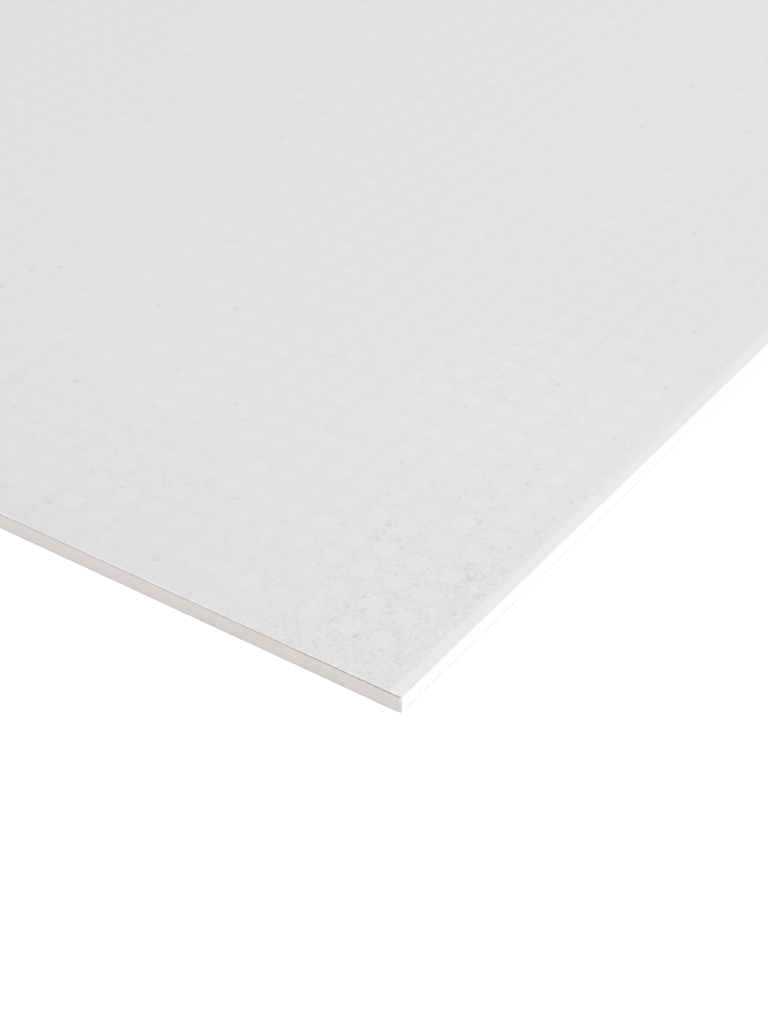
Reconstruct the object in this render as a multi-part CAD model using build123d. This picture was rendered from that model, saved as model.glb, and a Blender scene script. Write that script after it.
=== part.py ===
from build123d import *
import os

# Gypsum board sheet with square edges, lying flat with its face up.
# A plaster core is wrapped in a face liner, which is folded round both long edges
# and returned onto the back. A back liner is laid over the two returns.
# X runs along the board, Y across it and Z up. The origin is under the middle of the
# sheet, on the surface that it lies on. All sizes are in millimetres.

# The sheet over its liners
board_length = 2400.0
board_width = 1200.0
board_thickness = 12.5

# The paper
face_liner = 0.4
back_liner = 0.35

# The long edges: the outside radius of each fold, how far in from the edge the face
# liner returns over the back, and how far in from the edge the back liner stops
fold_radius = 0.7
return_width = 24.0
back_setback = 5.0


def across_board(width, bottom, top, radius=0.0):
    """Outline across the board, centred on it, between two heights."""
    height = top - bottom
    outline = RectangleRounded(width, height, radius) if radius > 0.0 else Rectangle(width, height)
    return Plane.YZ * Pos(0.0, bottom + height / 2) * outline


def along_board(section):
    """Solid of one section, carried along the board from cut end to cut end."""
    return extrude(section, amount=board_length / 2, both=True)


# Heights of the layers at the back, from the floor up
return_bottom = back_liner
core_bottom = return_bottom + face_liner

# Outline of the folded liner, outside and inside
folded_outside = across_board(board_width, return_bottom, board_thickness, fold_radius)
folded_inside = across_board(
    board_width - 2 * face_liner,
    core_bottom,
    board_thickness - face_liner,
    fold_radius - face_liner,
)

# Between the two returns the core fills the liner's thickness, down to the back liner
between_returns = across_board(board_width - 2 * return_width, return_bottom, core_bottom)

face_paper_section = folded_outside - folded_inside - between_returns
core_section = folded_inside + between_returns
back_paper_section = across_board(board_width - 2 * back_setback, 0.0, back_liner)

board_parts = {
    "gypsum_core": along_board(core_section),
    "face_paper": along_board(face_paper_section),
    "back_paper": along_board(back_paper_section),
}

os.makedirs("parts", exist_ok=True)
for name, solid in board_parts.items():
    export_step(solid, f"parts/{name}.step")
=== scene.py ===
import math
import random
from functools import cached_property

import bmesh
import bpy
from bpy.props import FloatProperty, FloatVectorProperty, IntProperty, PointerProperty
from mathutils import Matrix, Quaternion, Vector, noise


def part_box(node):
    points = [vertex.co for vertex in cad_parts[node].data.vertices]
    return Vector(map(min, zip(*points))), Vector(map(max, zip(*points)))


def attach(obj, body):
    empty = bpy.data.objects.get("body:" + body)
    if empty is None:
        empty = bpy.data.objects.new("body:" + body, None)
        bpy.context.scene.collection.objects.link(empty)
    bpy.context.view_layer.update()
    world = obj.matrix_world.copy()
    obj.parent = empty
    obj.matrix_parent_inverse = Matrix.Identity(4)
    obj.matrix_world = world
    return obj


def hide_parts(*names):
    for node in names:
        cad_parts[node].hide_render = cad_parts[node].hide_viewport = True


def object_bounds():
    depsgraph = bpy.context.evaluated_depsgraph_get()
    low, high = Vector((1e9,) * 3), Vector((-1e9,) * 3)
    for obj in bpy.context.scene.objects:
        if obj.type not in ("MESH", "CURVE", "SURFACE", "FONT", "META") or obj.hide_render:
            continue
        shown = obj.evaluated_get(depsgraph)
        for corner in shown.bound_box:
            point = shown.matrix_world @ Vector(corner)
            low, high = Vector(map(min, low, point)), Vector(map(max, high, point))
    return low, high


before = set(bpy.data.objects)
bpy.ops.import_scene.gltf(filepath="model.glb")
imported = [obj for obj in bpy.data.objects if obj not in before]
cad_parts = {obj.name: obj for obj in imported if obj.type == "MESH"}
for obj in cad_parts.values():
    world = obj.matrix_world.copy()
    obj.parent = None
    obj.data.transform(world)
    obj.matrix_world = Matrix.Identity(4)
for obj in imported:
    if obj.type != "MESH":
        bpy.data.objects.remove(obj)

bl_info = {
    "name": "Gypsum board sheet",
    "version": (1, 0, 0),
    "blender": (4, 5, 0),
    "location": "3D View > Sidebar > Board",
    "description": "Wraps a plaster core in its paper liners and finishes every surface",
    "category": "Mesh",
}

MM = 0.001
TINY = 0.001 * MM
# Share of a step that rounding may be off by, where steps are counted
SLACK = 0.001
WHITE = (1.0, 1.0, 1.0, 1.0)

# The board as the frame gives it: it lies flat, centred on X and Y, with its back at zero
CAD_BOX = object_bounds()
CORE_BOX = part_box("gypsum_core")
FACE_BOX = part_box("face_paper")
BACK_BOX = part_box("back_paper")
HALF_LENGTH = CAD_BOX[1].x
HALF_WIDTH = FACE_BOX[1].y
BOARD_TOP = FACE_BOX[1].z
FACE_THICKNESS = FACE_BOX[1].z - CORE_BOX[1].z
BACK_THICKNESS = BACK_BOX[1].z - BACK_BOX[0].z
BACK_HALF_WIDTH = BACK_BOX[1].y
FOLD_BOTTOM = FACE_BOX[0].z


def length(name, description, default):
    """A size in metres, shown in the scene's own unit."""
    return FloatProperty(name=name, description=description, default=default, unit="LENGTH", precision=5)


def colour(name, description, default):
    """A colour, in linear light."""
    return FloatVectorProperty(name=name, description=description, default=default, min=0.0, max=1.0,
                               subtype="COLOR")


def share(name, description, default):
    """A plain number from 0 to 1."""
    return FloatProperty(name=name, description=description, default=default, min=0.0, max=1.0,
                         subtype="FACTOR")


def angle(name, description, degrees):
    """An angle in radians, from its degrees."""
    return FloatProperty(name=name, description=description, default=math.radians(degrees), subtype="ANGLE")


class BOARD_PG_folding(bpy.types.PropertyGroup):
    """How the face liner is folded round the long edges"""
    fold_radius: length("Fold radius", "Outside radius of each fold", 0.7 * MM)
    return_width: length("Return", "How far in from the edge the liner ends on the back", 24.0 * MM)
    fold_steps: IntProperty(name="Fold steps", description="Flats that make up each fold", default=5, min=2)
    smooth_band: length("Smooth band", "Bare strip of the face along each long edge", 8.6 * MM)


class BOARD_PG_squares(bpy.types.PropertyGroup):
    """The pressed squares on the face"""
    pitch_along: length("Pitch along", "From square to square along the board", 25.8 * MM)
    pitch_across: length("Pitch across", "From square to square across the board", 25.37 * MM)
    first_along: length("First along", "From the cut end to the middle of the first square", 37.2 * MM)
    first_across: length("First across", "From the long edge to the middle of the first square", 40.15 * MM)
    side: length("Side", "Side of a square", 13.7 * MM)
    rise: length("Rise", "How far a square stands above the face", 0.03 * MM)
    slope: length("Slope", "Width of the slope round a square", 1.8 * MM)


class BOARD_PG_pinholes(bpy.types.PropertyGroup):
    """The pinholes between the squares"""
    share_of_places: share("Share of places", "How many of the possible places hold a pinhole", 0.07)
    smallest: length("Smallest", "Half the width of the smallest pinhole", 0.4 * MM)
    largest: length("Largest", "Half the width of the largest pinhole", 1.5 * MM)
    depth: length("Depth", "How deep the pinholes are", 0.11 * MM)
    seed: IntProperty(name="Seed", description="Start of the random draws", default=4)


class BOARD_PG_cut_ends(bpy.types.PropertyGroup):
    """The sawn ends of the core and the cut edges of the liners"""
    lip_reach: length("Lip reach", "How far from the cut the face liner begins to lift", 2.2 * MM)
    lip_rise: length("Lip rise", "How far the face liner lifts at the cut", 0.12 * MM)
    fray: length("Fray", "How far the cut edge of a liner wavers", 0.18 * MM)
    core_step: length("Core step", "Size of the facets on the sawn plaster", 1.2 * MM)
    core_roughness: length("Core roughness", "Unevenness of the sawn plaster", 0.07 * MM)
    chip_depth: length("Chip depth", "How far the plaster has broken back under the liner", 0.8 * MM)
    crumb: length("Crumb", "Half the width of the crumb of plaster at the near corner", 1.2 * MM)
    pores: IntProperty(name="Pores", description="Open pores on each sawn end", default=420)
    pore_depth: length("Pore depth", "How deep the open pores are", 0.35 * MM)
    seed: IntProperty(name="Seed", description="Start of the random draws", default=11)


class BOARD_PG_colours(bpy.types.PropertyGroup):
    """Colours of the board's surfaces"""
    face: colour("Face", "The face between the squares", (0.777, 0.7757, 0.777))
    band: colour("Smooth band", "The smooth band and the long edges", (0.825, 0.8236, 0.825))
    # The dark plies' colour holds painted shade of the gap under the face liner too
    cut_dark_and_shade: colour("Cut edge, dark", "The face liner's cut edge along the face", (0.195, 0.183, 0.165))
    cut_ochre: colour("Cut edge, ochre", "Fibres in that cut edge", (0.46, 0.34, 0.14))
    cut_pale: colour("Cut edge, pale", "That cut edge round the long edges", (0.84, 0.83, 0.81))
    core: colour("Core", "The sawn plaster", (0.838, 0.8085, 0.790))
    # Also the painted shade under the face liner's lip and in the dark pit
    stain_and_shade: colour("Stain", "Plaster stained along the face liner", (0.36, 0.30, 0.22))
    chip: colour("Chip", "Clean plaster where the near corner is chipped", (0.95, 0.95, 0.94))
    back: colour("Back", "The back liner", (0.47, 0.42, 0.36))
    back_cut: colour("Cut back liner", "The cut edge of the back liner", (0.66, 0.60, 0.57))
    back_cut_fibres: colour("Cut back liner, fibres", "Fibres in that cut edge", (0.52, 0.43, 0.38))


class BOARD_PG_stage(bpy.types.PropertyGroup):
    """Floor, lights and camera"""
    floor_reach: length("Floor reach", "From the middle of the board to the floor's edge", 30.0)
    sky: FloatProperty(name="Sky", description="Strength of the even light from all sides", default=0.795)
    key_power: FloatProperty(name="Key power", description="Power of the large soft lamp", default=146.0)
    floor_lift: share("Floor lift", "How much whiter the floor looks to the camera than it is", 0.45)
    key_size: length("Key size", "Side of the large soft lamp", 4.0)
    camera_ahead: length("Camera ahead", "From the near corner to the camera, along the board", -0.7566)
    camera_across: length("Camera across", "From the near corner to the camera, across the board", -0.5153)
    camera_above: length("Camera above", "From the board's face to the camera", 0.8082)
    camera_turn: angle("Turn", "Heading of the view, from +X towards +Y", 34.89)
    camera_tilt: angle("Tilt", "How far the view looks down", 36.27)
    camera_roll: angle("Roll", "How far the camera is rolled", -0.135)
    camera_lens: FloatProperty(name="Lens", description="Focal length in millimetres, for a 36 mm frame",
                               default=72.24)


class FoldedPaper:
    """Where a point of the flat face liner goes when it is folded round the board.

    A point is given by its distance along the paper from the board's middle line and its
    height over the paper's outer side, and becomes a place across the board and a height."""

    def __init__(self, folding):
        self.radius = folding.fold_radius
        self.flat = HALF_WIDTH - self.radius
        self.fold = self.radius * math.pi / 2
        self.side = BOARD_TOP - FOLD_BOTTOM - 2 * self.radius
        self.back = folding.return_width - self.radius
        self.reach = self.flat + 2 * self.fold + self.side + self.back

    def breaks(self, steps):
        """Lines along which the paper needs an edge, from the middle outwards."""
        first, second = self.flat, self.flat + self.fold + self.side
        folds = [start + self.fold * k / steps for start in (first, second) for k in range(steps + 1)]
        return folds + [self.reach]

    def round_fold(self, run, height):
        """Place of a point of a fold from the fold's middle: onwards in the old direction, and outwards."""
        turn, out = run / self.radius, self.radius + height
        return out * math.sin(turn), out * math.cos(turn)

    def place(self, along_paper, height):
        """Place across the board and height above its back."""
        side = math.copysign(1.0, along_paper)
        run = abs(along_paper)
        if run <= self.flat:
            return along_paper, BOARD_TOP + height
        run -= self.flat
        if run <= self.fold:
            across, up = self.round_fold(run, height)
            return side * (self.flat + across), BOARD_TOP - self.radius + up
        run -= self.fold
        if run <= self.side:
            return side * (HALF_WIDTH + height), BOARD_TOP - self.radius - run
        run -= self.side
        if run <= self.fold:
            down, across = self.round_fold(run, height)
            return side * (self.flat + across), FOLD_BOTTOM + self.radius - down
        run -= self.fold
        return side * (self.flat - run), FOLD_BOTTOM - height


def stations(breaks, longest):
    """Sorted positions that keep every break, with no gap longer than longest."""
    breaks = sorted(breaks)
    found = [breaks[0]]
    for start, end in zip(breaks, breaks[1:]):
        steps = max(1, math.ceil((end - start) / longest - SLACK))
        found += [start + (end - start) * k / steps for k in range(1, steps + 1)]
    return found


def both_sides(distances):
    """The same distances to either side of zero."""
    return [-d for d in distances] + list(distances)


def lattice(first, pitch, total):
    """Middles of a row of squares on a board of that total size, measured from its middle."""
    count = 1 + math.floor((total - 2 * first) / pitch + SLACK)
    return [first - total / 2 + k * pitch for k in range(count)]


def square_middles(squares):
    """Middles of the rows of squares along the board, and of the lines of squares across it."""
    rows = lattice(squares.first_along, squares.pitch_along, 2 * HALF_LENGTH)
    lines = lattice(squares.first_across, squares.pitch_across, 2 * HALF_WIDTH)
    return rows, lines


def flat_sheet(bm, along, across):
    """Flat grid with its lines at the given positions along X and Y."""
    columns, rows = len(along) - 1, len(across) - 1
    made = bmesh.ops.create_grid(bm, x_segments=columns, y_segments=rows, size=0.5)
    for vertex in made["verts"]:
        column = round((vertex.co.x + 0.5) * columns)
        row = round((vertex.co.y + 0.5) * rows)
        vertex.co = (along[column], across[row], 0.0)


def split_cut_ends(bm, reach):
    """Adds short edges along both cut ends, within that reach of them."""
    near = HALF_LENGTH - reach - TINY
    long_edge = 4 * MM

    def runs_along_cut(edge):
        a, b = edge.verts
        return abs(a.co.x - b.co.x) < TINY and abs(a.co.x) > near

    edges = [edge for edge in bm.edges if runs_along_cut(edge) and edge.calc_length() > long_edge]
    bmesh.ops.subdivide_edges(bm, edges=edges, cuts=5, use_grid_fill=True)


def extrude_sheet(bm, vec):
    """Makes a flat sheet a closed slab: one side stays where it is and the other moves by that vector."""
    made = bmesh.ops.extrude_face_region(bm, geom=bm.faces[:])
    moved = [part for part in made["geom"] if isinstance(part, bmesh.types.BMVert)]
    bmesh.ops.translate(bm, verts=moved, vec=vec)
    bmesh.ops.recalc_face_normals(bm, faces=bm.faces[:])


def upper_faces(bm):
    """Faces of the upper side of a slab whose upper side lies at zero."""
    return [face for face in bm.faces if all(v.co.z > -TINY for v in face.verts)]


def waver(x, y, size, seed):
    """Smooth noise from -1 to 1 whose bumps are about that size."""
    return noise.noise(Vector((x / size, y / size, seed)))


def fray_cut_edges(bm, cut_ends, rise):
    """Lifts a liner a little at both cuts and lets its edge waver."""
    for vertex in bm.verts:
        x, y = vertex.co.x, vertex.co.y
        from_cut = HALF_LENGTH - abs(x)
        if from_cut > cut_ends.lip_reach:
            continue
        lift = (1.0 - from_cut / cut_ends.lip_reach) ** 2
        side = math.copysign(1.0, x)
        vertex.co.z += rise * lift * (1.0 + 0.9 * waver(side, y, 9 * MM, 3.1 * side))
        if from_cut < TINY:
            slow = waver(0.0, y, 14 * MM, 5.7 * side)
            quick = waver(0.0, y, 3 * MM, 8.3 * side)
            vertex.co.x -= side * cut_ends.fray * (0.45 + 0.3 * slow + 0.25 * quick)


def cut_faces(bm, thickness):
    """Faces that join a slab's upper side to its lower side."""
    def joins(face):
        heights = [v.co.z for v in face.verts]
        return max(heights) > -0.25 * thickness and min(heights) < -0.75 * thickness
    return [face for face in bm.faces if joins(face)]


def sink(face, narrowing, vec):
    """Shrinks a face about its middle and moves it by that vector."""
    middle = face.calc_center_median()
    for vertex in face.verts:
        vertex.co = middle + (vertex.co - middle) * narrowing + vec


def shortest_side(face):
    return min(edge.calc_length() for edge in face.edges)


def new_object(name, bm, materials):
    """Makes an object from a finished mesh, at the origin."""
    mesh = bpy.data.meshes.new(name)
    bm.to_mesh(mesh)
    bm.free()
    for material in materials:
        mesh.materials.append(material)
    made = bpy.data.objects.new(name, mesh)
    bpy.context.scene.collection.objects.link(made)
    return made


def finished_piece(name, bm, materials, node):
    """Makes a piece of the board, and lets it stand for a CAD node."""
    piece = new_object(name, bm, materials)
    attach(piece, "root")
    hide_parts(node)


def cleared(owner):
    """Node tree of a new material or world, without its first nodes."""
    owner.use_nodes = True
    owner.node_tree.nodes.clear()
    return owner.node_tree


class Nodes:
    """Adds shader nodes to a tree and joins them."""

    def __init__(self, tree):
        self.tree = tree

    def feed(self, socket, value):
        """Joins a socket to another one, or sets it."""
        if isinstance(value, bpy.types.NodeSocket):
            self.tree.links.new(value, socket)
        else:
            socket.default_value = value

    def add(self, kind, inputs=None, **settings):
        """A new node, with what its inputs are fed and how it is set."""
        node = self.tree.nodes.new(kind)
        for key, value in settings.items():
            setattr(node, key, value)
        for key, value in (inputs or {}).items():
            self.feed(node.inputs[key], value)
        return node

    def math(self, operation, *values):
        return self.add("ShaderNodeMath", dict(enumerate(values)), operation=operation).outputs[0]

    def vector(self, operation, *values):
        return self.add("ShaderNodeVectorMath", dict(enumerate(values)), operation=operation).outputs[0]

    def separated(self, vector):
        """X, Y and Z of a vector."""
        return self.add("ShaderNodeSeparateXYZ", {0: vector}).outputs

    def times(self, *values):
        """All the values multiplied."""
        product = values[0]
        for value in values[1:]:
            product = self.math("MULTIPLY", product, value)
        return product

    def more(self, value, mask, amount):
        """The value, plus the amount times the mask."""
        return self.math("MULTIPLY_ADD", mask, amount, value)

    def between(self, mask, off, full):
        """The first number where the mask is 0, the second where it is 1."""
        return self.more(off, mask, full - off)

    def toned(self, *masks_and_amounts):
        """1 plus every mask times its amount: a positive amount lightens and a negative one darkens."""
        tone = 1.0
        for mask, amount in masks_and_amounts:
            tone = self.more(tone, mask, amount)
        return tone

    def scaled(self, vector, factor):
        return self.add("ShaderNodeVectorMath", {0: vector, "Scale": factor}, operation="SCALE").outputs[0]

    def distance(self, a, b):
        return self.add("ShaderNodeVectorMath", {0: a, 1: b}, operation="DISTANCE").outputs["Value"]

    def ramp(self, value, low, high, smooth=True):
        """0 at low, 1 at high."""
        kind = "SMOOTHSTEP" if smooth else "LINEAR"
        inputs = {"Value": value, "From Min": low, "From Max": high}
        return self.add("ShaderNodeMapRange", inputs, interpolation_type=kind, clamp=True).outputs[0]

    def mix(self, factor, a, b):
        """The first colour where the factor is 0, the second where it is 1."""
        a, b = (c if isinstance(c, bpy.types.NodeSocket) else (*c, 1.0) for c in (a, b))
        node = self.add("ShaderNodeMix", {0: factor, 6: a, 7: b}, data_type="RGBA", clamp_factor=True)
        return node.outputs[2]

    def sized_noise(self, vector, size, **inputs):
        """Noise from 0 to 1 whose size is itself a socket."""
        inputs = {"Vector": vector, "Scale": self.math("DIVIDE", 1.0, size), **inputs}
        return self.add("ShaderNodeTexNoise", inputs).outputs["Fac"]

    def noise(self, vector, size, detail=2.0):
        """Noise from 0 to 1 whose bumps are about that many millimetres."""
        inputs = {"Vector": vector, "Scale": 1.0 / (size * MM), "Detail": detail}
        return self.add("ShaderNodeTexNoise", inputs).outputs["Fac"]

    def uneven(self, vector, size, reach):
        """Noise to both sides of 0 whose bumps are about that many millimetres."""
        return self.times(self.math("SUBTRACT", self.noise(vector, size, 3.0), 0.5), reach)


class GroupNodes(Nodes):
    """A new shader node group whose inputs are a Vector and the given numbers."""

    def __init__(self, name, numbers, outputs):
        super().__init__(bpy.data.node_groups.new(name, "ShaderNodeTree"))
        self.tree.interface.new_socket("Vector", in_out="INPUT", socket_type="NodeSocketVector")
        for label, default in numbers.items():
            socket = self.tree.interface.new_socket(label, in_out="INPUT", socket_type="NodeSocketFloat")
            socket.default_value = default
        for label in outputs:
            self.tree.interface.new_socket(label, in_out="OUTPUT", socket_type="NodeSocketFloat")
        self.given = self.add("NodeGroupInput").outputs
        self.result = self.add("NodeGroupOutput").inputs
        self.place = self.given["Vector"]


def paper_grain_group(name):
    """Fine grain, soft clouds and faint streaks along the board, each from -1 to 1."""
    sizes = {"Grain size": 2.0 * MM, "Cloud size": 12.0 * MM, "Streak length": 90.0 * MM}
    nodes = GroupNodes(name, sizes, ["Grain", "Clouds", "Streaks"])
    given = nodes.given
    streak_slimness = 0.08
    squeezed = nodes.vector("MULTIPLY", nodes.place, (streak_slimness, 1.0, 1.0))
    streak_width = nodes.times(given["Streak length"], streak_slimness)
    for label, vector, size, detail in (
        ("Grain", nodes.place, given["Grain size"], 2.0),
        ("Clouds", nodes.place, given["Cloud size"], 3.0),
        ("Streaks", squeezed, streak_width, 2.0),
    ):
        pattern = nodes.sized_noise(vector, size, Detail=detail)
        nodes.feed(nodes.result[label], nodes.between(pattern, -2.0, 2.0))
    return nodes.tree


def speck_group(name):
    """Scattered round specks: 1 in the middle of a speck, 0 outside."""
    numbers = {"Spacing": 3.0 * MM, "Radius": 0.6 * MM, "Density": 0.3}
    nodes = GroupNodes(name, numbers, ["Specks"])
    given = nodes.given
    inputs = {"Vector": nodes.place, "Scale": nodes.math("DIVIDE", 1.0, given["Spacing"])}
    cells = nodes.add("ShaderNodeTexVoronoi", inputs, feature="F1").outputs
    distance = nodes.times(cells["Distance"], given["Spacing"])
    draw = nodes.add("ShaderNodeSeparateColor", {0: cells["Color"]}).outputs
    chosen = nodes.math("LESS_THAN", draw[0], given["Density"])
    radius = nodes.times(given["Radius"], nodes.between(draw[1], 0.4, 1.2))
    inside = nodes.ramp(distance, radius, nodes.times(radius, 0.3))
    strength = nodes.between(draw[2], 0.3, 1.0)
    nodes.feed(nodes.result["Specks"], nodes.times(inside, strength, chosen))
    return nodes.tree


def dab_group(name):
    """Irregular dabs, thicker where the cover is higher: 0 off a dab, up to 1 in its middle."""
    nodes = GroupNodes(name, {"Size": 4.5 * MM, "Cover": 0.5}, ["Dabs"])
    pattern = nodes.sized_noise(nodes.place, nodes.given["Size"], Detail=2.5)
    start = nodes.between(nodes.given["Cover"], 0.74, 0.56)
    middle = nodes.math("ADD", start, 0.19)
    nodes.feed(nodes.result["Dabs"], nodes.ramp(pattern, start, middle, smooth=False))
    return nodes.tree


def felt_group(name):
    """Short matted fibres, from -1 where they are dark to 1 where they are light."""
    nodes = GroupNodes(name, {"Fibre size": 3.2 * MM, "Fibre width": 0.16}, ["Fibres"])
    size, width = nodes.given["Fibre size"], nodes.given["Fibre width"]
    layers = []
    for shift in (0.0, 0.37):
        vector = nodes.vector("ADD", nodes.place, (shift, 0.21, 0.13))
        pattern = nodes.sized_noise(vector, size, Detail=0.5, Distortion=1.0)
        from_ridge = nodes.math("ABSOLUTE", nodes.math("SUBTRACT", pattern, 0.5))
        ridge = nodes.ramp(from_ridge, width, nodes.times(width, 0.3))
        vector = nodes.vector("ADD", nodes.place, (shift, 0.66, 0.48))
        breaks = nodes.ramp(nodes.sized_noise(vector, size, Detail=1.0), 0.44, 0.6)
        layers.append(nodes.times(ridge, breaks))
    light, dark = layers
    nodes.feed(nodes.result["Fibres"], nodes.math("SUBTRACT", nodes.times(light, 0.65), dark))
    return nodes.tree


def square_lattice_group(name):
    """The pressed squares: soft ragged squares that vary in strength, and the rims round them."""
    numbers = {
        "Pitch along": 25.8 * MM, "Pitch across": 25.37 * MM, "First along": 0.0, "First across": 0.0,
        "Last along": 0.0, "Last across": 0.0, "Side": 13.7 * MM, "Ragged": 6.0 * MM, "Softness": 0.8 * MM,
    }
    nodes = GroupNodes(name, numbers, ["Squares", "Strength", "Rims"])
    given, result = nodes.given, nodes.result
    place = nodes.separated(nodes.place)
    half_side = nodes.times(given["Side"], 0.5)
    distances, counts, bounds = [], [], []
    for axis, way in ((0, "along"), (1, "across")):
        value, pitch, first = place[axis], given["Pitch " + way], given["First " + way]
        from_first = nodes.math("SUBTRACT", value, first)
        number = nodes.math("ROUND", nodes.math("DIVIDE", from_first, pitch))
        from_middle = nodes.math("SUBTRACT", from_first, nodes.times(number, pitch))
        distances.append(nodes.math("SUBTRACT", nodes.math("ABSOLUTE", from_middle), half_side))
        counts.append(number)
        bounds.append(nodes.math("GREATER_THAN", value, nodes.math("SUBTRACT", first, given["Side"])))
        bounds.append(nodes.math("LESS_THAN", value, nodes.math("ADD", given["Last " + way], given["Side"])))
    on_lattice = nodes.times(*bounds)
    wobble = nodes.uneven(nodes.place, 4, given["Ragged"])
    outside = nodes.math("ADD", nodes.math("MAXIMUM", *distances), wobble)
    squares = nodes.ramp(outside, given["Softness"], nodes.times(given["Softness"], -1.0))
    rims = nodes.ramp(nodes.math("ABSOLUTE", outside), 2.0 * MM, 0.3 * MM)
    square = nodes.add("ShaderNodeCombineXYZ", dict(enumerate(counts))).outputs[0]
    draw = nodes.add("ShaderNodeTexWhiteNoise", {"Vector": square}, noise_dimensions="3D").outputs
    nodes.feed(result["Squares"], nodes.times(squares, on_lattice))
    nodes.feed(result["Strength"], nodes.between(draw["Value"], 0.53, 1.43))
    nodes.feed(result["Rims"], nodes.times(rims, on_lattice))
    return nodes.tree


GROUP_MAKERS = {
    "Paper grain": paper_grain_group,
    "Specks": speck_group,
    "Dabs": dab_group,
    "Felt": felt_group,
    "Square lattice": square_lattice_group,
}


class Finish(Nodes):
    """A new material with a Principled shader, its effects and the places on the board.

    Patterns are shifted or stretched by vectors, so that no two of them repeat each other.
    Ramps over the board take distances in millimetres: first where they are 0, then where
    they are 1."""

    def __init__(self, name, roughness):
        self.material = bpy.data.materials.new(name)
        super().__init__(cleared(self.material))
        inputs = {"Roughness": roughness, "Specular IOR Level": 0.3}
        self.shader = self.add("ShaderNodeBsdfPrincipled", inputs)
        self.add("ShaderNodeOutputMaterial", {"Surface": self.shader.outputs[0]})
        self.place = self.add("ShaderNodeTexCoord").outputs["Object"]

    @cached_property
    def axes(self):
        return self.separated(self.place)

    @cached_property
    def from_cut(self):
        """Distance from the nearer cut end."""
        return self.math("SUBTRACT", HALF_LENGTH, self.math("ABSOLUTE", self.axes[0]))

    @cached_property
    def from_edge(self):
        """Distance from the nearer long edge."""
        return self.math("SUBTRACT", HALF_WIDTH, self.math("ABSOLUTE", self.axes[1]))

    def cut_ramp(self, off, full, smooth=True):
        """Ramp over the distance from the cut end."""
        return self.ramp(self.from_cut, off * MM, full * MM, smooth)

    def edge_ramp(self, off, full, smooth=True):
        """Ramp over the distance from the long edge."""
        return self.ramp(self.from_edge, off * MM, full * MM, smooth)

    def depth_ramp(self, off, full):
        """Ramp over the depth below the board's face."""
        return self.ramp(self.axes[2], BOARD_TOP - off * MM, BOARD_TOP - full * MM)

    def moved(self, shift=None, stretch=None):
        """The place for a pattern of its own."""
        if stretch:
            return self.vector("MULTIPLY", self.place, stretch)
        return self.vector("ADD", self.place, shift) if shift else self.place

    def effect(self, name, shift=None, stretch=None, **values):
        """Outputs of an effect, whose shader node group is made at its first use."""
        group = bpy.data.node_groups.get(name) or GROUP_MAKERS[name](name)
        node = self.add("ShaderNodeGroup", {"Vector": self.moved(shift, stretch)}, node_tree=group)
        for label, value in values.items():
            self.feed(node.inputs[label.replace("_", " ").capitalize()], value)
        return node.outputs

    def grain(self, **sizes):
        return self.effect("Paper grain", **sizes)

    def felt(self, **settings):
        return self.effect("Felt", **settings)["Fibres"]

    def specks(self, spacing, radius, density, **move):
        """Specks, in millimetres."""
        values = {"spacing": spacing * MM, "radius": radius * MM, "density": density}
        return self.effect("Specks", **move, **values)["Specks"]

    def dabs(self, size, cover, shift=None):
        """Dabs, in millimetres."""
        return self.effect("Dabs", shift, size=size * MM, cover=cover)["Dabs"]

    def patches(self, size, low, high, detail=2.0, shift=None):
        """Soft patches, in millimetres, where the noise passes from low to high."""
        return self.ramp(self.noise(self.moved(shift), size, detail), low, high)

    def paint(self, base):
        self.feed(self.shader.inputs["Base Color"], base)

    def bump(self, height, distance, strength=1.0):
        """Gives the surface a relief of that many metres."""
        inputs = {"Height": height, "Distance": distance, "Strength": strength}
        self.feed(self.shader.inputs["Normal"], self.add("ShaderNodeBump", inputs).outputs[0])


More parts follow.
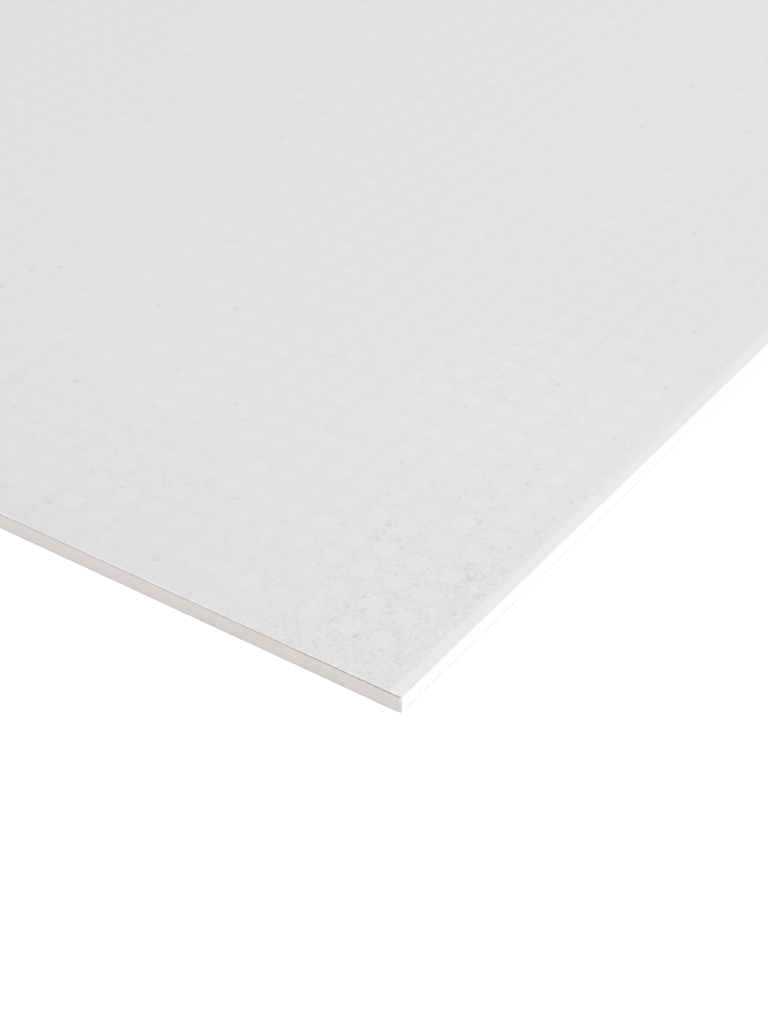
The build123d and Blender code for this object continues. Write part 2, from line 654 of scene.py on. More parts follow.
class FaceFinish(Finish):
    """The pale face liner: squares, smooth bands, matted fibres, dabs and specks."""

    def __init__(self, settings):
        super().__init__("Face liner", 0.7)
        self.fibres = self.felt(fibre_width=0.13)
        self.curls = self.felt(shift=(0.52, 0.33, 0.6), fibre_size=5.5 * MM, fibre_width=0.1)
        self.lay_bands(settings.folding.smooth_band)
        self.lay_squares(settings.squares)
        self.lay_dirt_and_rim_shade()
        self.lay_pale_marks_and_highlights()
        paper = self.mix(self.band, settings.colours.face, settings.colours.band)
        self.paint(self.scaled(self.dusted(paper), self.tone()))
        self.surface()

    def lay_bands(self, width):
        """The smooth band has a ragged inner side, and the paper is a little lighter just inside it."""
        ragged = self.math("ADD", self.from_edge, self.uneven(self.place, 6, 4.5 * MM))
        into_face = self.math("SUBTRACT", ragged, width)
        self.band = self.ramp(into_face, 1.0 * MM, -1.0 * MM)
        self.off_band = self.math("SUBTRACT", 1.0, self.band)
        self.fade = self.ramp(into_face, 8 * MM, 0.0)

    def lay_squares(self, squares):
        """The face is roughest at its corners. The squares are sharpest there, and stay smooth."""
        rough = self.times(self.cut_ramp(280, 50), self.between(self.edge_ramp(190, 60), 0.32, 1.0))
        rows, lines = square_middles(squares)
        self.pressed = self.effect(
            "Square lattice",
            pitch_along=squares.pitch_along, pitch_across=squares.pitch_across,
            first_along=rows[0], first_across=lines[0], last_along=rows[-1], last_across=lines[-1],
            side=squares.side, ragged=8.0 * MM, softness=self.between(rough, 1.9 * MM, 0.6 * MM),
        )
        self.rough = self.math("MAXIMUM", rough, self.times(self.cut_ramp(90, 20), 0.42))
        self.open_face = self.times(self.between(self.pressed["Squares"], 1.0, 0.2), self.off_band)

    def lay_dirt_and_rim_shade(self):
        """Dabs, dots, smudges and nicks, thickest near the corners and along the smooth bands; dabs and dots
        also gather along the squares' rims as painted shade.
        """
        dirty = self.times(self.cut_ramp(290, 110), self.edge_ramp(150, 70))
        dirty = self.math("MAXIMUM", dirty, self.times(self.rough, 0.7))
        off_cut = self.between(self.cut_ramp(0, 100), 0.4, 1.0)
        self.dirty = self.between(self.times(dirty, off_cut), 0.25, 0.97)
        cover = self.times(self.dirty, self.between(self.patches(32, 0.40, 0.64), 0.65, 1.25))
        cover = self.more(cover, self.times(self.edge_ramp(24, 12), self.cut_ramp(230, 170)), 0.12)
        # Dabs and dots are thicker along the squares' rims, as painted shade of the squares' relief
        cover = self.times(self.more(cover, self.pressed["Rims"], 0.3), self.open_face)
        small_dabs = self.dabs(2.9, cover, (0.11, 0.43, 0.27))
        self.dark_dabs = self.math("MAXIMUM", self.dabs(4.8, cover), self.times(small_dabs, 0.85))
        self.dots = self.specks(4.2, 0.8, self.times(cover, 0.42))

        self.beside = self.math("MAXIMUM", self.edge_ramp(330, 120), self.cut_ramp(420, 180))
        smudges = self.specks(17, 3.4, self.between(self.beside, 0.04, 0.84), shift=(0.19, 0.61, 0.3))
        broken = self.patches(3.0, 0.38, 0.56, shift=(0.9, 0.3, 0.2))
        self.smudges = self.times(smudges, broken, self.open_face)

        on_arris = self.times(self.edge_ramp(1.3, 0.5), self.depth_ramp(0.9, 0.4))
        nicks = self.dabs(3.0, self.between(self.cut_ramp(90, 10), 0.1, 1.0))
        self.nicks = self.times(nicks, on_arris)

    def lay_pale_marks_and_highlights(self):
        """Pale patches some way from the cut ends, crumbs with painted highlights round the squares of rough
        places, and flecks.
        """
        along = self.times(self.cut_ramp(560, 360), self.cut_ramp(150, 260))
        self.pale_zone = self.times(along, self.edge_ramp(300, 160))
        patches = self.dabs(6.5, self.times(self.pale_zone, 1.1), (0.5, 0.14, 0.8))
        self.pale_patches = self.times(patches, self.pale_zone, self.off_band)
        rough_rims = self.times(self.pressed["Rims"], self.rough)
        self.crumbs_and_rim_highlights = self.times(self.dabs(2.6, rough_rims, (0.31, 0.17, 0.05)), rough_rims)
        self.flecks = self.specks(11, 1.5, self.between(self.dirty, 0.01, 0.13), shift=(0.23, 0.09, 0.5))

    def fuzz_and_rim_highlight(self):
        """How much lighter the paper is along the cut: fibres that stand up there, and a painted highlight
        on the lifted lip.
        """
        fuzz_and_rim_highlight = self.between(self.patches(9, 0.42, 0.6), 0.035, 0.155)
        return self.times(fuzz_and_rim_highlight, self.between(self.edge_ramp(60, 350), 0.7, 1.15))

    def square_tone(self):
        """How much lighter the squares are, with a painted highlight along their rims."""
        lighter = self.between(self.pale_zone, 0.0135, 0.020)
        lighter = self.more(lighter, self.times(self.rough, self.rough), 0.0065)
        return self.times(lighter, self.more(self.pressed["Strength"], self.pressed["Rims"], 0.25))

    def faint_streak(self):
        """One faint darker streak along the face, far from the near long edge."""
        middle = (-HALF_LENGTH + 85 * MM, -HALF_WIDTH + 430 * MM, BOARD_TOP)
        half_length, half_width = 115 * MM, 11 * MM
        from_middle = self.vector("SUBTRACT", self.place, middle)
        from_middle = self.vector("MULTIPLY", from_middle, (1.0 / half_length, 1.0 / half_width, 1.0))
        return self.ramp(self.distance(from_middle, (0.0, 0.0, 0.0)), 1.0, 0.35)

    def tone(self):
        """Everything that lightens or darkens the paper, painted light and shade among it."""
        grain = self.grain(grain_size=1.15 * MM)
        self.fine_grain = grain["Grain"]
        rough, open_face, off_band = self.rough, self.open_face, self.off_band
        tufts = self.patches(15, 0.40, 0.64, shift=(0.7, 0.2, 0.4))
        matted = self.times(open_face, self.between(tufts, 0.65, 1.15))
        hollows = self.times(self.math("SUBTRACT", tufts, 0.5), self.times(rough, open_face))
        mottle = self.math("SUBTRACT", self.patches(7, 0.34, 0.60, detail=1.0), 0.6)
        inner = self.times(self.cut_ramp(260, 100), self.edge_ramp(110, 260))
        mottled = self.math("MAXIMUM", self.times(inner, 0.022), self.between(self.beside, 0.004, 0.016))
        darker_near_cut = self.times(self.cut_ramp(210, 0), self.between(off_band, 0.3, 1.0))
        painted_shade_upper_fold = self.times(self.depth_ramp(1.6, 0.5), self.edge_ramp(1.0, 0.3))
        painted_shade_lower_fold = self.ramp(self.axes[2], FOLD_BOTTOM + 1.3 * MM, FOLD_BOTTOM + 0.4 * MM)
        return self.toned(
            (self.fibres, self.times(self.between(rough, 0.001, 0.075), matted)),
            (self.curls, self.times(rough, 0.034, open_face)),
            (hollows, 0.012),
            (mottle, self.times(mottled, open_face)),
            (self.fine_grain, self.times(self.between(rough, 0.0015, 0.0375), open_face)),
            (grain["Clouds"], 0.005),
            (grain["Streaks"], self.times(off_band, 0.003)),
            (self.times(self.pressed["Squares"], off_band), self.square_tone()),
            # Lighter along the bands and on the long edges; darker near the cut ends, and along the long
            # edges far from them
            (self.fade, self.times(off_band, 0.022)),
            (self.edge_ramp(8, 0, smooth=False), 0.012),
            (self.depth_ramp(0.4, 0.9), 0.020),
            (darker_near_cut, self.between(self.edge_ramp(110, 230), -0.015, -0.024)),
            (self.times(self.cut_ramp(90, 0), self.edge_ramp(150, 450)), -0.010),
            (self.times(self.edge_ramp(260, 90), self.cut_ramp(250, 520)), -0.015),
            (self.cut_ramp(2.2, 0.9), self.fuzz_and_rim_highlight()),
            (self.flecks, self.times(open_face, 0.05)),
            (self.crumbs_and_rim_highlights, 0.12),
            (self.pale_patches, 0.045),
            (self.dark_dabs, -0.14),
            (self.dots, -0.08),
            (self.smudges, -0.22),
            (self.nicks, -0.5),
            # Painted shade: both folds are a little darker than the flats beside them, the lower one most,
            # along the board's foot
            (painted_shade_upper_fold, -0.06),
            (painted_shade_lower_fold, -0.10),
            (self.faint_streak(), -0.022),
        )

    def dusted(self, paper):
        """Plaster dust tints the paper close to the cut."""
        warm = (1.033, 1.0, 0.985)
        dust = self.between(self.patches(11, 0.36, 0.66, shift=(0.4, 0.8, 0.1)), 0.15, 1.05)
        dust = self.times(dust, self.cut_ramp(8, 0, smooth=False))
        return self.mix(dust, paper, self.vector("MULTIPLY", paper, warm))

    def surface(self):
        """Bands and squares are smoother than the matted face, and dabs and dots lie in it."""
        smoother = self.math("MAXIMUM", self.band, self.times(self.pressed["Squares"], 0.6))
        self.feed(self.shader.inputs["Roughness"], self.between(smoother, 0.72, 0.60))
        relief = self.math("ADD", self.fibres, self.fine_grain)
        relief = self.times(relief, self.between(self.open_face, 0.02, 0.14))
        relief = self.math("SUBTRACT", relief, self.math("ADD", self.dark_dabs, self.dots))
        self.bump(relief, 0.15 * MM, 0.6)


def pinhole_finish(settings):
    """The floor and sides of a pinhole: grey, darker than the face round it, which is painted shade in the
    hole.
    """
    finish = Finish("Pinhole", 0.9)
    shade = finish.between(finish.patches(3, 0.3, 0.7), 0.76, 0.96)
    finish.paint(finish.scaled(tuple(settings.colours.face), shade))
    return finish.material


def cut_plies(finish, base, accent):
    """Colour of the plies at a cut edge, uneven, with fibres of another colour; adds their relief."""
    grain = finish.grain(grain_size=0.9 * MM, cloud_size=7 * MM)
    spots = finish.specks(3.4, 1.3, 0.35)
    tone = finish.toned((grain["Grain"], 0.12), (grain["Clouds"], 0.22), (spots, -0.5))
    finish.bump(grain["Grain"], 0.05 * MM)
    return finish.scaled(finish.mix(finish.patches(6, 0.56, 0.7), base, accent), tone)


def cut_face_finish(settings):
    """The cut edge of the face liner: dark along the face, partly painted shade under the lip, pale round
    the long edges.
    """
    colours = settings.colours
    finish = Finish("Cut face liner", 0.9)
    plies = cut_plies(finish, colours.cut_dark_and_shade, colours.cut_ochre)
    # A pale top ply lies over dark ones, and is thinner close to the long edges. The dark plies are painted
    # darker than paper, as the shade of the gap under the liner
    top_ply = finish.between(finish.edge_ramp(110, 15), -0.01 * MM, -0.08 * MM)
    top_ply = finish.more(top_ply, finish.noise(finish.place, 5, 3.0), 0.32 * MM)
    depth = finish.math("SUBTRACT", finish.math("SUBTRACT", BOARD_TOP, finish.axes[2]), top_ply)
    dark = finish.times(finish.depth_ramp(0.9, 0.6), finish.ramp(depth, -0.04 * MM, 0.04 * MM),
                        finish.edge_ramp(0.5, 1.0))
    finish.paint(finish.mix(dark, colours.cut_pale, plies))
    return finish.material


def cut_back_finish(settings):
    """The cut edge of the back liner: pale brown plies."""
    finish = Finish("Cut back liner", 0.9)
    finish.paint(cut_plies(finish, settings.colours.back_cut, settings.colours.back_cut_fibres))
    return finish.material


class CoreFinish(Finish):
    """Sawn plaster: warm pale grey with fine pores and faint saw marks, with painted shade in the pores,
    under the face liner and in one pit, and painted light lower down.
    """

    def __init__(self, colours):
        super().__init__("Sawn plaster", 0.92)
        grain = self.grain(grain_size=0.8 * MM, cloud_size=9 * MM)
        pores = self.specks(1.6, 0.35, 0.22)
        saw_marks = self.noise(self.moved(stretch=(1.0, 1.0, 0.12)), 0.7, 1.0)
        saw_marks = self.math("SUBTRACT", saw_marks, 0.5)
        tone = self.toned(
            (grain["Grain"], 0.014),
            (grain["Clouds"], 0.010),
            (saw_marks, 0.03),
            # Pores are darker: painted shade in them
            (pores, -0.09),
            (self.specks(9, 1.0, 0.25), -0.05),
            # Painted light: the plaster is lighter towards the board's back, against the shade the floor
            # gives it there
            (self.ramp(self.axes[2], 8 * MM, 1 * MM), 0.013),
        )
        # Stain and painted shade of the gap under the face liner's lip darken the plaster along the liner
        plaster = self.mix(self.stained_and_shaded(), self.scaled(self.plaster(colours.core), tone), colours.stain_and_shade)
        # A clean chip and a dark pit lie close to the near corner; the pit's darkness is painted shade
        chip = self.spot(0.9 * MM, BOARD_TOP - 1.5 * MM, 1.9 * MM)
        plaster = self.mix(chip, plaster, colours.chip)
        painted_pit_shade = self.spot(2.7 * MM, 3.2 * MM, 0.7 * MM)
        self.paint(self.mix(self.times(painted_pit_shade, 0.6), plaster, colours.stain_and_shade))
        relief = self.math("SUBTRACT", self.times(grain["Grain"], 0.2), pores)
        self.bump(self.math("ADD", relief, saw_marks), 0.12 * MM)

    def plaster(self, clean):
        """Rosy in the middle of the sheet and browner close to the long edges, in soft patches."""
        base = Vector(clean)
        brown = base * Vector((0.990, 1.0, 0.986))
        rosy = base * Vector((1.010, 1.0, 1.012))
        warmth = self.more(self.noise(self.place, 26), self.edge_ramp(50, 230), 0.2)
        return self.mix(self.ramp(warmth, 0.47, 0.73), brown, rosy)

    def stained_and_shaded(self):
        """1 where the plaster is stained and painted shade falls under the face liner's lip, along the liner
        and most near the long edges.
        """
        height = self.math("ADD", self.axes[2], self.uneven(self.place, 4, 1.6 * MM))
        under_liner = self.math("SUBTRACT", CORE_BOX[1].z, height)
        stain_and_shade = self.ramp(under_liner, 0.7 * MM, 0.15 * MM)
        return self.times(stain_and_shade, self.between(self.edge_ramp(150, 20), 0.35, 0.70))

    def spot(self, across, up, radius):
        """Ragged spot on the near sawn end: 1 in its middle, 0 outside."""
        distance = self.distance(self.place, (-HALF_LENGTH, -HALF_WIDTH + across, up))
        distance = self.math("ADD", distance, self.uneven(self.place, 1.1, 2.8 * radius))
        return self.ramp(distance, radius, 0.5 * radius)


def back_finish(settings):
    """The back liner: recycled grey-brown paper with fibres and a soft mottle."""
    finish = Finish("Back liner", 0.85)
    grain = finish.grain(grain_size=1.1 * MM, cloud_size=26 * MM)
    fibres = finish.noise(finish.moved(stretch=(0.22, 1.0, 1.0)), 1.3, 3.0)
    felt = finish.felt(stretch=(0.45, 1.0, 1.0), fibre_size=3.6 * MM, fibre_width=0.08)
    tone = finish.toned(
        (grain["Grain"], 0.04),
        (grain["Clouds"], 0.055),
        (grain["Streaks"], 0.03),
        (finish.math("SUBTRACT", fibres, 0.5), 0.45),
        (felt, 0.09),
        (finish.specks(4.5, 0.6, 0.4, stretch=(0.4, 1.0, 1.0)), -0.45),
        (finish.specks(6.0, 0.5, 0.35, shift=(0.3, 0.5, 0.2)), 0.25),
    )
    finish.paint(finish.scaled(tuple(settings.colours.back), tone))
    finish.bump(finish.math("ADD", fibres, finish.times(grain["Grain"], 0.3)), 0.06 * MM)
    return finish.material


class BOARD_OT_face_liner(bpy.types.Operator):
    """Press the squares and pinholes into the face liner and fold it round the core"""
    bl_idname = "board.face_liner"
    bl_label = "Face liner"
    bl_options = {"REGISTER", "UNDO"}

    def choose_places(self, places, pinholes, draw):
        """Some of the open places between the squares: more near the long edges, and more in patches."""
        def row_and_place(face):
            middle = face.calc_center_median()
            return round(middle.x, 6), middle.y

        edge_reach, patch_size = 90 * MM, 110 * MM
        chosen = []
        for face in sorted(places, key=row_and_place):
            middle = face.calc_center_median()
            edge = math.exp(-(HALF_WIDTH - abs(middle.y)) / edge_reach)
            patch = max(0.0, waver(middle.x, middle.y, patch_size, 1.7))
            if draw.random() < pinholes.share_of_places * (0.4 + 1.9 * edge + 1.6 * patch):
                chosen.append(face)
        return chosen

    def prick_pinholes(self, bm, places, pinholes):
        """Sinks an irregular pinhole in each chosen place, and returns the faces of the pinholes."""
        draw = random.Random(pinholes.seed)
        chosen = self.choose_places(places, pinholes, draw)
        rim_width, room, narrowing = 4 * MM, 3.5 * MM, 0.55
        size_range = pinholes.largest - pinholes.smallest
        bmesh.ops.inset_individual(bm, faces=chosen, thickness=rim_width, use_even_offset=True)
        for face in chosen:
            middle = face.calc_center_median()
            shift = Vector((draw.uniform(-room, room), draw.uniform(-room, room), 0.0))
            size = draw.uniform(0.0, 1.0) ** 1.6 * size_range + pinholes.smallest
            turn = Matrix.Rotation(draw.uniform(-0.4, 0.4), 3, "Z")
            narrow = Matrix.Diagonal((draw.uniform(0.6, 1.0), draw.uniform(0.6, 1.0), 1.0))
            for vertex in face.verts:
                out = (vertex.co - middle).normalized() * size * draw.uniform(0.75, 1.25)
                vertex.co = middle + shift + turn @ (narrow @ out)
        bmesh.ops.inset_individual(bm, faces=chosen, thickness=pinholes.smallest * 0.05)
        holes = set(chosen)
        for face in chosen:
            sink(face, narrowing, Vector((0.0, 0.0, -pinholes.depth)))
            for edge in face.edges:
                holes.update(edge.link_faces)
        return holes

    def squares_and_places(self, bm, settings):
        """Faces that are squares, and large faces between them that may hold a pinhole."""
        squares = settings.squares
        rows, lines = square_middles(squares)
        room_for_pinhole = 10 * MM

        def on_row(place, middles, pitch):
            nearest = round((place - middles[0]) / pitch)
            return 0 <= nearest < len(middles) and abs(place - middles[nearest]) < squares.side / 2

        def on_square(middle):
            along = on_row(middle.x, rows, squares.pitch_along)
            return along and on_row(middle.y, lines, squares.pitch_across)

        pressed, open_places = [], []
        for face in upper_faces(bm):
            middle = face.calc_center_median()
            inside_ends = abs(middle.x) < HALF_LENGTH - 2.0 * settings.cut_ends.lip_reach
            inside_band = abs(middle.y) < HALF_WIDTH - settings.folding.smooth_band
            if not (inside_ends and inside_band and len(face.verts) == 4):
                continue
            if on_square(middle):
                pressed.append(face)
            elif shortest_side(face) > room_for_pinhole:
                open_places.append(face)
        return pressed, open_places

    def execute(self, context):
        settings = context.scene.board
        squares, folding, cut_ends = settings.squares, settings.folding, settings.cut_ends
        paper = FoldedPaper(folding)
        rows, lines = square_middles(squares)
        half = squares.side / 2
        lip = [cut_ends.lip_reach * part for part in (0.0, 0.18, 0.45, 1.0)]
        along = both_sides([HALF_LENGTH - reach for reach in lip])
        along += [row + side for row in rows for side in (-half, half)]
        across = both_sides(paper.breaks(folding.fold_steps) + [HALF_WIDTH - folding.smooth_band])
        across += [line + side for line in lines for side in (-half, half)]
        longest = squares.side + 0.3 * MM

        bm = bmesh.new()
        flat_sheet(bm, stations(along, longest), stations(across, longest))
        split_cut_ends(bm, cut_ends.lip_reach)
        extrude_sheet(bm, (0.0, 0.0, -FACE_THICKNESS))
        pressed, open_places = self.squares_and_places(bm, settings)
        if not pressed or not open_places:
            raise RuntimeError("the face has no room for its squares")
        bmesh.ops.inset_individual(bm, faces=pressed, thickness=squares.slope, depth=squares.rise,
                                   use_even_offset=True)
        holes = self.prick_pinholes(bm, open_places, settings.pinholes)

        for face in holes:
            face.material_index = 1
        for face in cut_faces(bm, FACE_THICKNESS):
            face.material_index = 2
        for face in bm.faces:
            middle = face.calc_center_median()
            on_fold = abs(middle.y) > paper.flat
            on_lip = abs(middle.x) > HALF_LENGTH - cut_ends.lip_reach
            face.smooth = (on_fold or on_lip) and face.material_index == 0
        fray_cut_edges(bm, cut_ends, cut_ends.lip_rise)
        for vertex in bm.verts:
            vertex.co.y, vertex.co.z = paper.place(vertex.co.y, vertex.co.z)
        bmesh.ops.recalc_face_normals(bm, faces=bm.faces[:])

        materials = [FaceFinish(settings).material, pinhole_finish(settings), cut_face_finish(settings)]
        finished_piece("face_liner", bm, materials, "face_paper")
        return {"FINISHED"}


class BOARD_OT_core(bpy.types.Operator):
    """Make the plaster core, with both sawn ends rough, chipped and pored"""
    bl_idname = "board.core"
    bl_label = "Plaster core"
    bl_options = {"REGISTER", "UNDO"}

    def section(self, folding):
        """Lowest and highest point of the core at a place across the board."""
        radius = folding.fold_radius - FACE_THICKNESS
        half = CORE_BOX[1].y
        flat = half - radius
        step = HALF_WIDTH - folding.return_width

        def low_and_high(y):
            low = CORE_BOX[0].z if abs(y) < step else CORE_BOX[0].z + FACE_THICKNESS
            high = CORE_BOX[1].z
            past = max(0.0, abs(y) - flat)
            drop = radius - math.sqrt(max(0.0, radius ** 2 - past ** 2))
            return low + drop, high - drop

        turns = [k * math.pi / 8 for k in range(5)]
        breaks = [flat + radius * math.sin(turn) for turn in turns] + [step - TINY, step + TINY]
        # Finer facets beside the fold, for the chip and the crumb at the near corner
        breaks += [flat - reach for reach in (0.4 * MM, 0.8 * MM, 1.3 * MM, 1.9 * MM, 2.6 * MM)]
        return low_and_high, both_sides(breaks)

    def roughen(self, ends, cut_ends):
        """Pushes the sawn faces in unevenly, breaks the plaster back along the liner and leaves a crumb."""
        chip_height, chip_start = 0.9 * MM, 0.18
        crumb_across, crumb_below, crumb_bulge = 0.9 * MM, 1.5 * MM, 0.8
        for vertex in ends:
            side = math.copysign(1.0, vertex.co.x)
            y, z = vertex.co.y, vertex.co.z
            coarse = waver(y, z, 6 * MM, 2.2 * side)
            fine = waver(y, z, 1.7 * MM, 4.9 * side)
            vertex.co.x -= side * cut_ends.core_roughness * (0.9 + 0.5 * coarse + 0.6 * fine)
            from_top = CORE_BOX[1].z - z
            chipped = waver(y, 0.0, 5 * MM, 6.1 * side) + 0.6 * waver(y, 0.0, 1.9 * MM, 9.4 * side)
            if from_top < chip_height and chipped > chip_start:
                depth = min(1.0, (chipped - chip_start) * 2.5) * (1.0 - from_top / chip_height)
                vertex.co.x -= side * cut_ends.chip_depth * depth
            from_crumb = math.hypot(y + HALF_WIDTH - crumb_across, z - BOARD_TOP + crumb_below)
            if side < 0 and from_crumb < cut_ends.crumb:
                bulge = crumb_bulge * math.sqrt(cut_ends.crumb ** 2 - from_crumb ** 2)
                vertex.co.x = -HALF_LENGTH - bulge

    def open_pores(self, bm, faces, cut_ends):
        """Sinks an irregular pore in some of the facets of the sawn faces."""
        rim_width, narrowing = 0.25 * MM, 0.6
        draw = random.Random(cut_ends.seed)
        places = sorted(faces, key=lambda f: tuple(round(c, 6) for c in f.calc_center_median()))
        chosen = draw.sample(places, min(len(places), 2 * cut_ends.pores))
        bmesh.ops.inset_individual(bm, faces=chosen, thickness=rim_width, use_even_offset=True)
        for face in chosen:
            middle = face.calc_center_median()
            size = 0.25 + 0.85 * draw.random() ** 2
            turn = Matrix.Rotation(draw.uniform(-0.7, 0.7), 3, "X")
            for vertex in face.verts:
                vertex.co = middle + turn @ (vertex.co - middle) * size * draw.uniform(0.6, 1.3)
        bmesh.ops.inset_individual(bm, faces=chosen, thickness=0.01 * MM)
        for face in chosen:
            inwards = math.copysign(cut_ends.pore_depth, -face.calc_center_median().x)
            sink(face, narrowing, Vector((inwards, 0.0, 0.0)))

    def execute(self, context):
        settings = context.scene.board
        cut_ends = settings.cut_ends
        low_and_high, breaks = self.section(settings.folding)
        across = stations(breaks, cut_ends.core_step)
        rows = math.ceil((CORE_BOX[1].z - CORE_BOX[0].z) / cut_ends.core_step)
        # Heights as shares of the core's own, finer along the face liner
        heights = stations([0.0, 0.04, 0.78, 0.84, 0.88, 0.92, 0.96, 1.0], 1.0 / rows)

        bm = bmesh.new()
        flat_sheet(bm, across, heights)
        for vertex in bm.verts:
            y, height = vertex.co.x, vertex.co.y
            low, high = low_and_high(y)
            vertex.co = (-HALF_LENGTH, y, low + (high - low) * height)
        extrude_sheet(bm, (2 * HALF_LENGTH, 0.0, 0.0))
        # An edge loop near each sawn end keeps its roughness out of the long sides
        loop_reach = 4 * MM
        for side in (-1.0, 1.0):
            inside = side * (HALF_LENGTH - loop_reach)
            parts = bm.verts[:] + bm.edges[:] + bm.faces[:]
            bmesh.ops.bisect_plane(bm, geom=parts, plane_co=(inside, 0.0, 0.0), plane_no=(1.0, 0.0, 0.0))
        sawn = [face for face in bm.faces if all(abs(v.co.x) > HALF_LENGTH - TINY for v in face.verts)]
        if not sawn:
            raise RuntimeError("the core has no sawn ends")
        ends = [vertex for vertex in bm.verts if abs(vertex.co.x) > HALF_LENGTH - TINY]
        room = 0.6 * cut_ends.core_step
        inner = [face for face in sawn if shortest_side(face) > room]
        self.roughen(ends, cut_ends)
        self.open_pores(bm, inner, cut_ends)
        finished_piece("plaster_core", bm, [CoreFinish(settings.colours).material], "gypsum_core")
        return {"FINISHED"}


class BOARD_OT_back_liner(bpy.types.Operator):
    """Lay the back liner over the returns of the face liner"""
    bl_idname = "board.back_liner"
    bl_label = "Back liner"
    bl_options = {"REGISTER", "UNDO"}

    def execute(self, context):
        settings = context.scene.board
        cut_ends = settings.cut_ends
        lip = [cut_ends.lip_reach * part for part in (0.0, 0.3, 1.0)]
        along = stations(both_sides([HALF_LENGTH - reach for reach in lip]), 60 * MM)
        across = stations(both_sides([BACK_HALF_WIDTH]), 12 * MM)
        bm = bmesh.new()
        flat_sheet(bm, along, across)
        split_cut_ends(bm, cut_ends.lip_reach)
        extrude_sheet(bm, (0.0, 0.0, -BACK_THICKNESS))
        for face in cut_faces(bm, BACK_THICKNESS):
            face.material_index = 1
        fray_cut_edges(bm, cut_ends, 0.0)
        # The slit edges waver a little, in long waves
        wander, wave = 0.5 * MM, 150 * MM
        for vertex in bm.verts:
            if abs(vertex.co.y) > BACK_HALF_WIDTH - TINY:
                side = math.copysign(1.0, vertex.co.y)
                vertex.co.y += side * wander * waver(vertex.co.x, 0.0, wave, 2.6 * side)
        bmesh.ops.translate(bm, verts=bm.verts[:], vec=(0.0, 0.0, BACK_BOX[1].z))
        materials = [back_finish(settings), cut_back_finish(settings)]
        finished_piece("back_liner", bm, materials, "back_paper")
        return {"FINISHED"}


def seen_plainly(nodes):
    """1 for what the camera sees itself, or by way of metal or glass, and 0 for light on the board."""
    rays = nodes.add("ShaderNodeLightPath").outputs
    passed_on = nodes.math("MAXIMUM", rays["Is Glossy Ray"], rays["Is Transmission Ray"])
    return nodes.math("MAXIMUM", rays["Is Camera Ray"], passed_on)


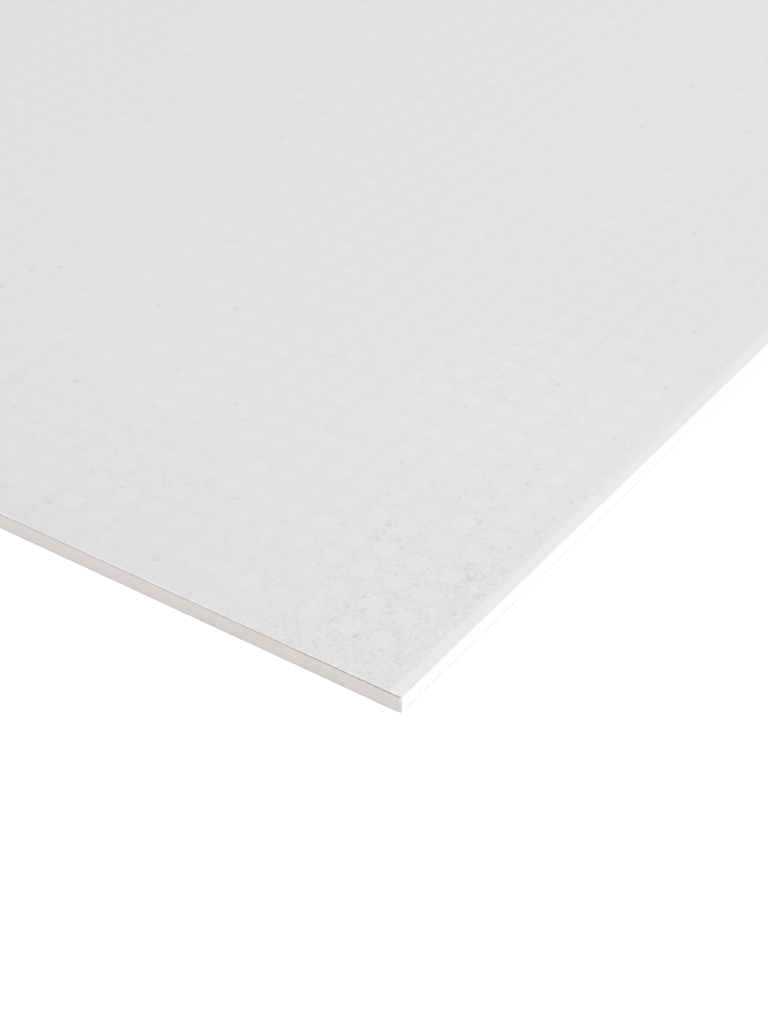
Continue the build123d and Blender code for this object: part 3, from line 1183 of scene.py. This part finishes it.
class BOARD_OT_stage(bpy.types.Operator):
    """Set up the white floor, the soft light and the camera"""
    bl_idname = "board.stage"
    bl_label = "Floor, light and camera"
    bl_options = {"REGISTER", "UNDO"}

    def floor(self, stage):
        """White floor, a hair below the board, that keeps the board's soft shadow."""
        material = bpy.data.materials.new("White floor")
        nodes = Nodes(cleared(material))
        paper = nodes.add("ShaderNodeBsdfDiffuse", {"Color": (0.9, 0.9, 0.9, 1.0)})
        # Beneath the board less of the lift is left, so the long edges have a thin line along their foot
        place = nodes.vector("ABSOLUTE", nodes.add("ShaderNodeTexCoord").outputs["Object"])
        axes = nodes.separated(place)
        past_end = nodes.ramp(axes[0], HALF_LENGTH - 2.0 * MM, HALF_LENGTH - 1.9 * MM)
        past_edge = nodes.ramp(axes[1], HALF_WIDTH - 0.1 * MM, HALF_WIDTH)
        share_left = nodes.between(nodes.math("MAXIMUM", past_end, past_edge), 0.25, 1.0)
        strength = nodes.times(seen_plainly(nodes), share_left, stage.floor_lift)
        lift = nodes.add("ShaderNodeEmission", {"Color": WHITE, "Strength": strength})
        both = nodes.add("ShaderNodeAddShader", {0: paper.outputs[0], 1: lift.outputs[0]})
        nodes.add("ShaderNodeOutputMaterial", {"Surface": both.outputs[0]})
        below_board = 0.05 * MM
        bm = bmesh.new()
        bmesh.ops.create_circle(bm, cap_ends=True, segments=96, radius=stage.floor_reach)
        bmesh.ops.translate(bm, verts=bm.verts[:], vec=(0.0, 0.0, -below_board))
        floor = new_object("floor", bm, [material])

    def sky(self, scene, stage):
        """Even white light from all sides, and a white background."""
        world = bpy.data.worlds.new("White studio")
        nodes = Nodes(cleared(world))
        strength = nodes.between(seen_plainly(nodes), stage.sky, 1.0)
        light = nodes.add("ShaderNodeBackground", {"Color": WHITE, "Strength": strength})
        nodes.add("ShaderNodeOutputWorld", {"Surface": light.outputs[0]})
        scene.world = world

    def key(self, scene, stage):
        """Large soft lamp, low to the right of the camera, facing the long edge."""
        data = bpy.data.lights.new("key", "AREA")
        data.shape = "SQUARE"
        data.size = stage.key_size
        data.energy = stage.key_power
        lamp = bpy.data.objects.new("key", data)
        stands_at, aimed_at = Vector((0.6, -5.3, 2.8)), Vector((-0.4, -0.2, 0.0))
        lamp.location = stands_at
        lamp.rotation_euler = (aimed_at - stands_at).to_track_quat("-Z", "Y").to_euler()
        scene.collection.objects.link(lamp)

    def camera(self, scene, stage):
        """Camera that sees the near corner as the photograph does."""
        data = bpy.data.cameras.new("camera")
        data.lens = stage.camera_lens
        data.sensor_width = 36.0
        camera = bpy.data.objects.new("camera", data)
        corner = Vector((-HALF_LENGTH, -HALF_WIDTH, BOARD_TOP))
        camera.location = corner + Vector((stage.camera_ahead, stage.camera_across, stage.camera_above))
        level = math.cos(stage.camera_tilt)
        view = Vector((level * math.cos(stage.camera_turn), level * math.sin(stage.camera_turn),
                       -math.sin(stage.camera_tilt)))
        roll = Quaternion((0.0, 0.0, 1.0), stage.camera_roll)
        camera.rotation_euler = (view.to_track_quat("-Z", "Y") @ roll).to_euler()
        data.clip_start, data.clip_end = 0.02, 200.0
        scene.collection.objects.link(camera)
        scene.camera = camera

    def execute(self, context):
        scene = context.scene
        stage = scene.board.stage
        self.floor(stage)
        self.sky(scene, stage)
        self.key(scene, stage)
        self.camera(scene, stage)
        scene.view_settings.view_transform = "Standard"
        return {"FINISHED"}


class BOARD_PG_settings(bpy.types.PropertyGroup):
    """All sizes and colours of the board"""
    folding: PointerProperty(type=BOARD_PG_folding)
    squares: PointerProperty(type=BOARD_PG_squares)
    pinholes: PointerProperty(type=BOARD_PG_pinholes)
    cut_ends: PointerProperty(type=BOARD_PG_cut_ends)
    colours: PointerProperty(type=BOARD_PG_colours)
    stage: PointerProperty(type=BOARD_PG_stage)


class BOARD_PT_panel(bpy.types.Panel):
    """Lists the steps that finish the board, with their sizes"""
    bl_idname = "BOARD_PT_panel"
    bl_label = "Gypsum board sheet"
    bl_space_type = "VIEW_3D"
    bl_region_type = "UI"
    bl_category = "Board"

    def draw(self, context):
        settings = context.scene.board
        for operator, groups in STEPS:
            box = self.layout.box()
            box.operator(operator)
            for name in groups:
                group = getattr(settings, name)
                for label in group.bl_rna.properties.keys():
                    if label not in ("rna_type", "name"):
                        box.prop(group, label)


# Each step with its sizes. The colours are every piece's, and stand with the first step.
STEPS = (
    ("board.core", ("colours", "cut_ends")),
    ("board.face_liner", ("folding", "squares", "pinholes")),
    ("board.back_liner", ()),
    ("board.stage", ("stage",)),
)

CLASSES = (
    BOARD_PG_folding,
    BOARD_PG_squares,
    BOARD_PG_pinholes,
    BOARD_PG_cut_ends,
    BOARD_PG_colours,
    BOARD_PG_stage,
    BOARD_PG_settings,
    BOARD_OT_core,
    BOARD_OT_face_liner,
    BOARD_OT_back_liner,
    BOARD_OT_stage,
    BOARD_PT_panel,
)


def register():
    for cls in CLASSES:
        bpy.utils.register_class(cls)
    bpy.types.Scene.board = PointerProperty(type=BOARD_PG_settings)


def unregister():
    del bpy.types.Scene.board
    for cls in reversed(CLASSES):
        bpy.utils.unregister_class(cls)


def main():
    register()
    bpy.ops.board.core()
    bpy.ops.board.face_liner()
    bpy.ops.board.back_liner()
    bpy.ops.board.stage()


if __name__ == "__main__":
    main()
